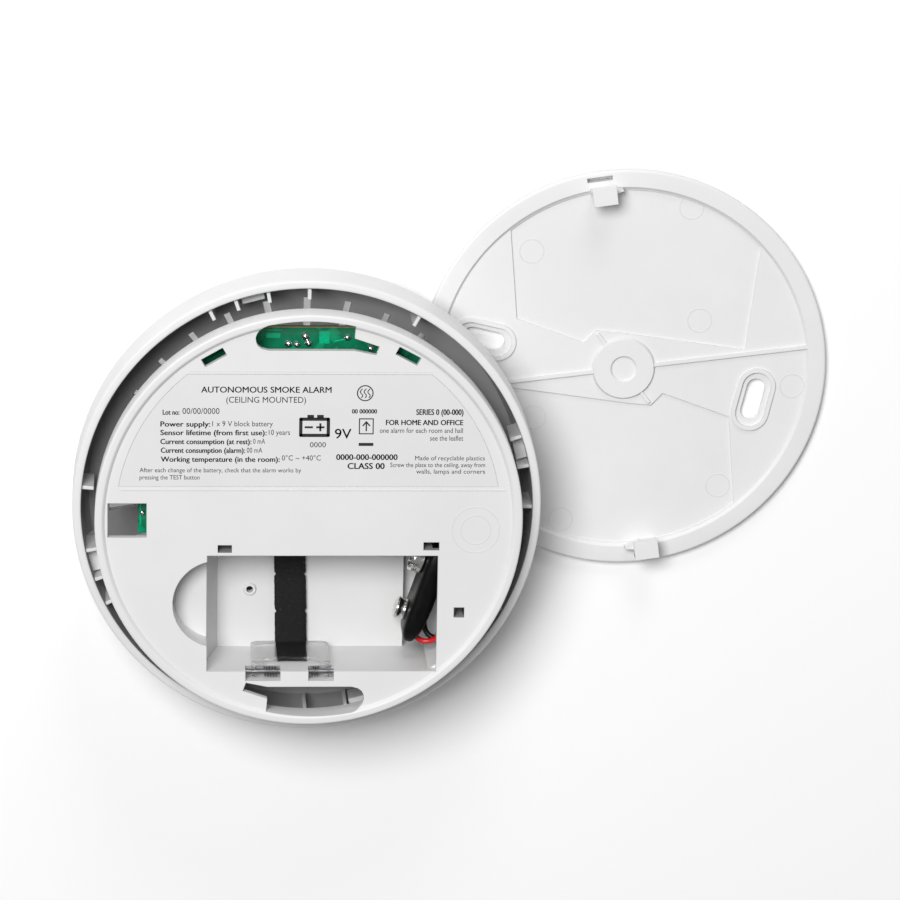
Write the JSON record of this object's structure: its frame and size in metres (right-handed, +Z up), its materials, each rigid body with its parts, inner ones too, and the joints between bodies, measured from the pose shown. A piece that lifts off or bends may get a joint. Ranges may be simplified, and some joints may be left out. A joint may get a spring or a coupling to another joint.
{
  "type": "smoke detector",
  "caption": "Round ceiling smoke detector lying face down with an open battery bay and a hanging snap connector, beside its detached bayonet mounting plate.",
  "frame": {"origin": "on the surface both pieces lie on, under the middle of the detector head and mounting plate together", "axes": "+X from the head towards the mounting plate along the longest extent, +Z up, which is from the head's front towards its ceiling side"},
  "size_m": [0.1752, 0.1272, 0.0364],
  "materials": {
    "head_plastic": "moulded off-white, fine satin",
    "plate_plastic": "moulded off-white, fine eggshell texture",
    "label_sheet": "light grey printed sheet",
    "clear_plastic": "clear moulded",
    "foam": "dark matt pad",
    "board": "green solder mask",
    "black_package": "moulded epoxy",
    "capacitor_sleeve": "shrink sleeve",
    "coil_lacquer": "lacquered winding",
    "resistor_lacquer": "lacquer",
    "led_red": "tinted clear",
    "led_blue": "tinted clear",
    "led_dark": "infrared filter black",
    "chamber_plastic": "light-absorbing black",
    "steel": "plain",
    "brass_sheet": "plain",
    "nickel": "nickel plate",
    "boot_vinyl": "soft vinyl",
    "red_vinyl": "soft vinyl"
  },
  "bodies": {
    "head": {"back_cover": "head_plastic", "black_lead": "boot_vinyl", "capacitor_large": "capacitor_sleeve", "capacitor_small": "capacitor_sleeve", "chamber_base": "chamber_plastic", "chamber_cover": "chamber_plastic", "connector_boot": "boot_vinyl", "detector_ic": "black_package", "flag_pin": "steel", "flag_spring_left": "steel", "flag_spring_right": "steel", "foam_strip": "foam", "front_cover": "head_plastic", "inductor_coil": "coil_lacquer", "infrared_emitter": "led_blue", "insect_screen": "steel", "light_pipe": "clear_plastic", "pcb": "board", "pcb_screw_1": "steel", "pcb_screw_2": "steel", "pcb_screw_3": "steel", "photodiode": "led_dark", "photodiode_shield": "steel", "piezo_disc": "brass_sheet", "rating_label": "label_sheet", "red_lead": "red_vinyl", "resistor_1": "resistor_lacquer", "resistor_2": "resistor_lacquer", "resistor_3": "resistor_lacquer", "snap_socket": "nickel", "snap_stud": "nickel", "sounder_contact_left": "brass_sheet", "sounder_contact_right": "brass_sheet", "sounder_horn": "chamber_plastic", "status_led": "led_red", "test_button_spring": "steel", "test_switch": "black_package", "transistor": "black_package"},
    "button": {"test_button": "head_plastic"},
    "flag": {"battery_flag": "clear_plastic"},
    "plate": {"mounting_plate": "plate_plastic"}
  },
  "joints": [
    {"name": "test_button_press", "type": "slide", "parent": "head", "child": "button", "axis": [0, 0, 1], "range_m": [0, 0.001], "stiffness_N_per_m": 1500, "springref_m": -0.001, "deforming": ["test_button_spring"]},
    {"name": "battery_flag_swing", "type": "hinge", "parent": "head", "child": "flag", "pos_m": [-0.0376, -0.04735, 0.0332], "axis": [1, 0, 0], "range_deg": [0, 100], "stiffness_Nm_per_rad": 0.001},
    {"name": "mounting_plate_slide", "type": "slide", "parent": "head", "child": "plate", "axis": [0.9426, 0.334, 0], "range_m": [0, 0.06]}
  ]
}
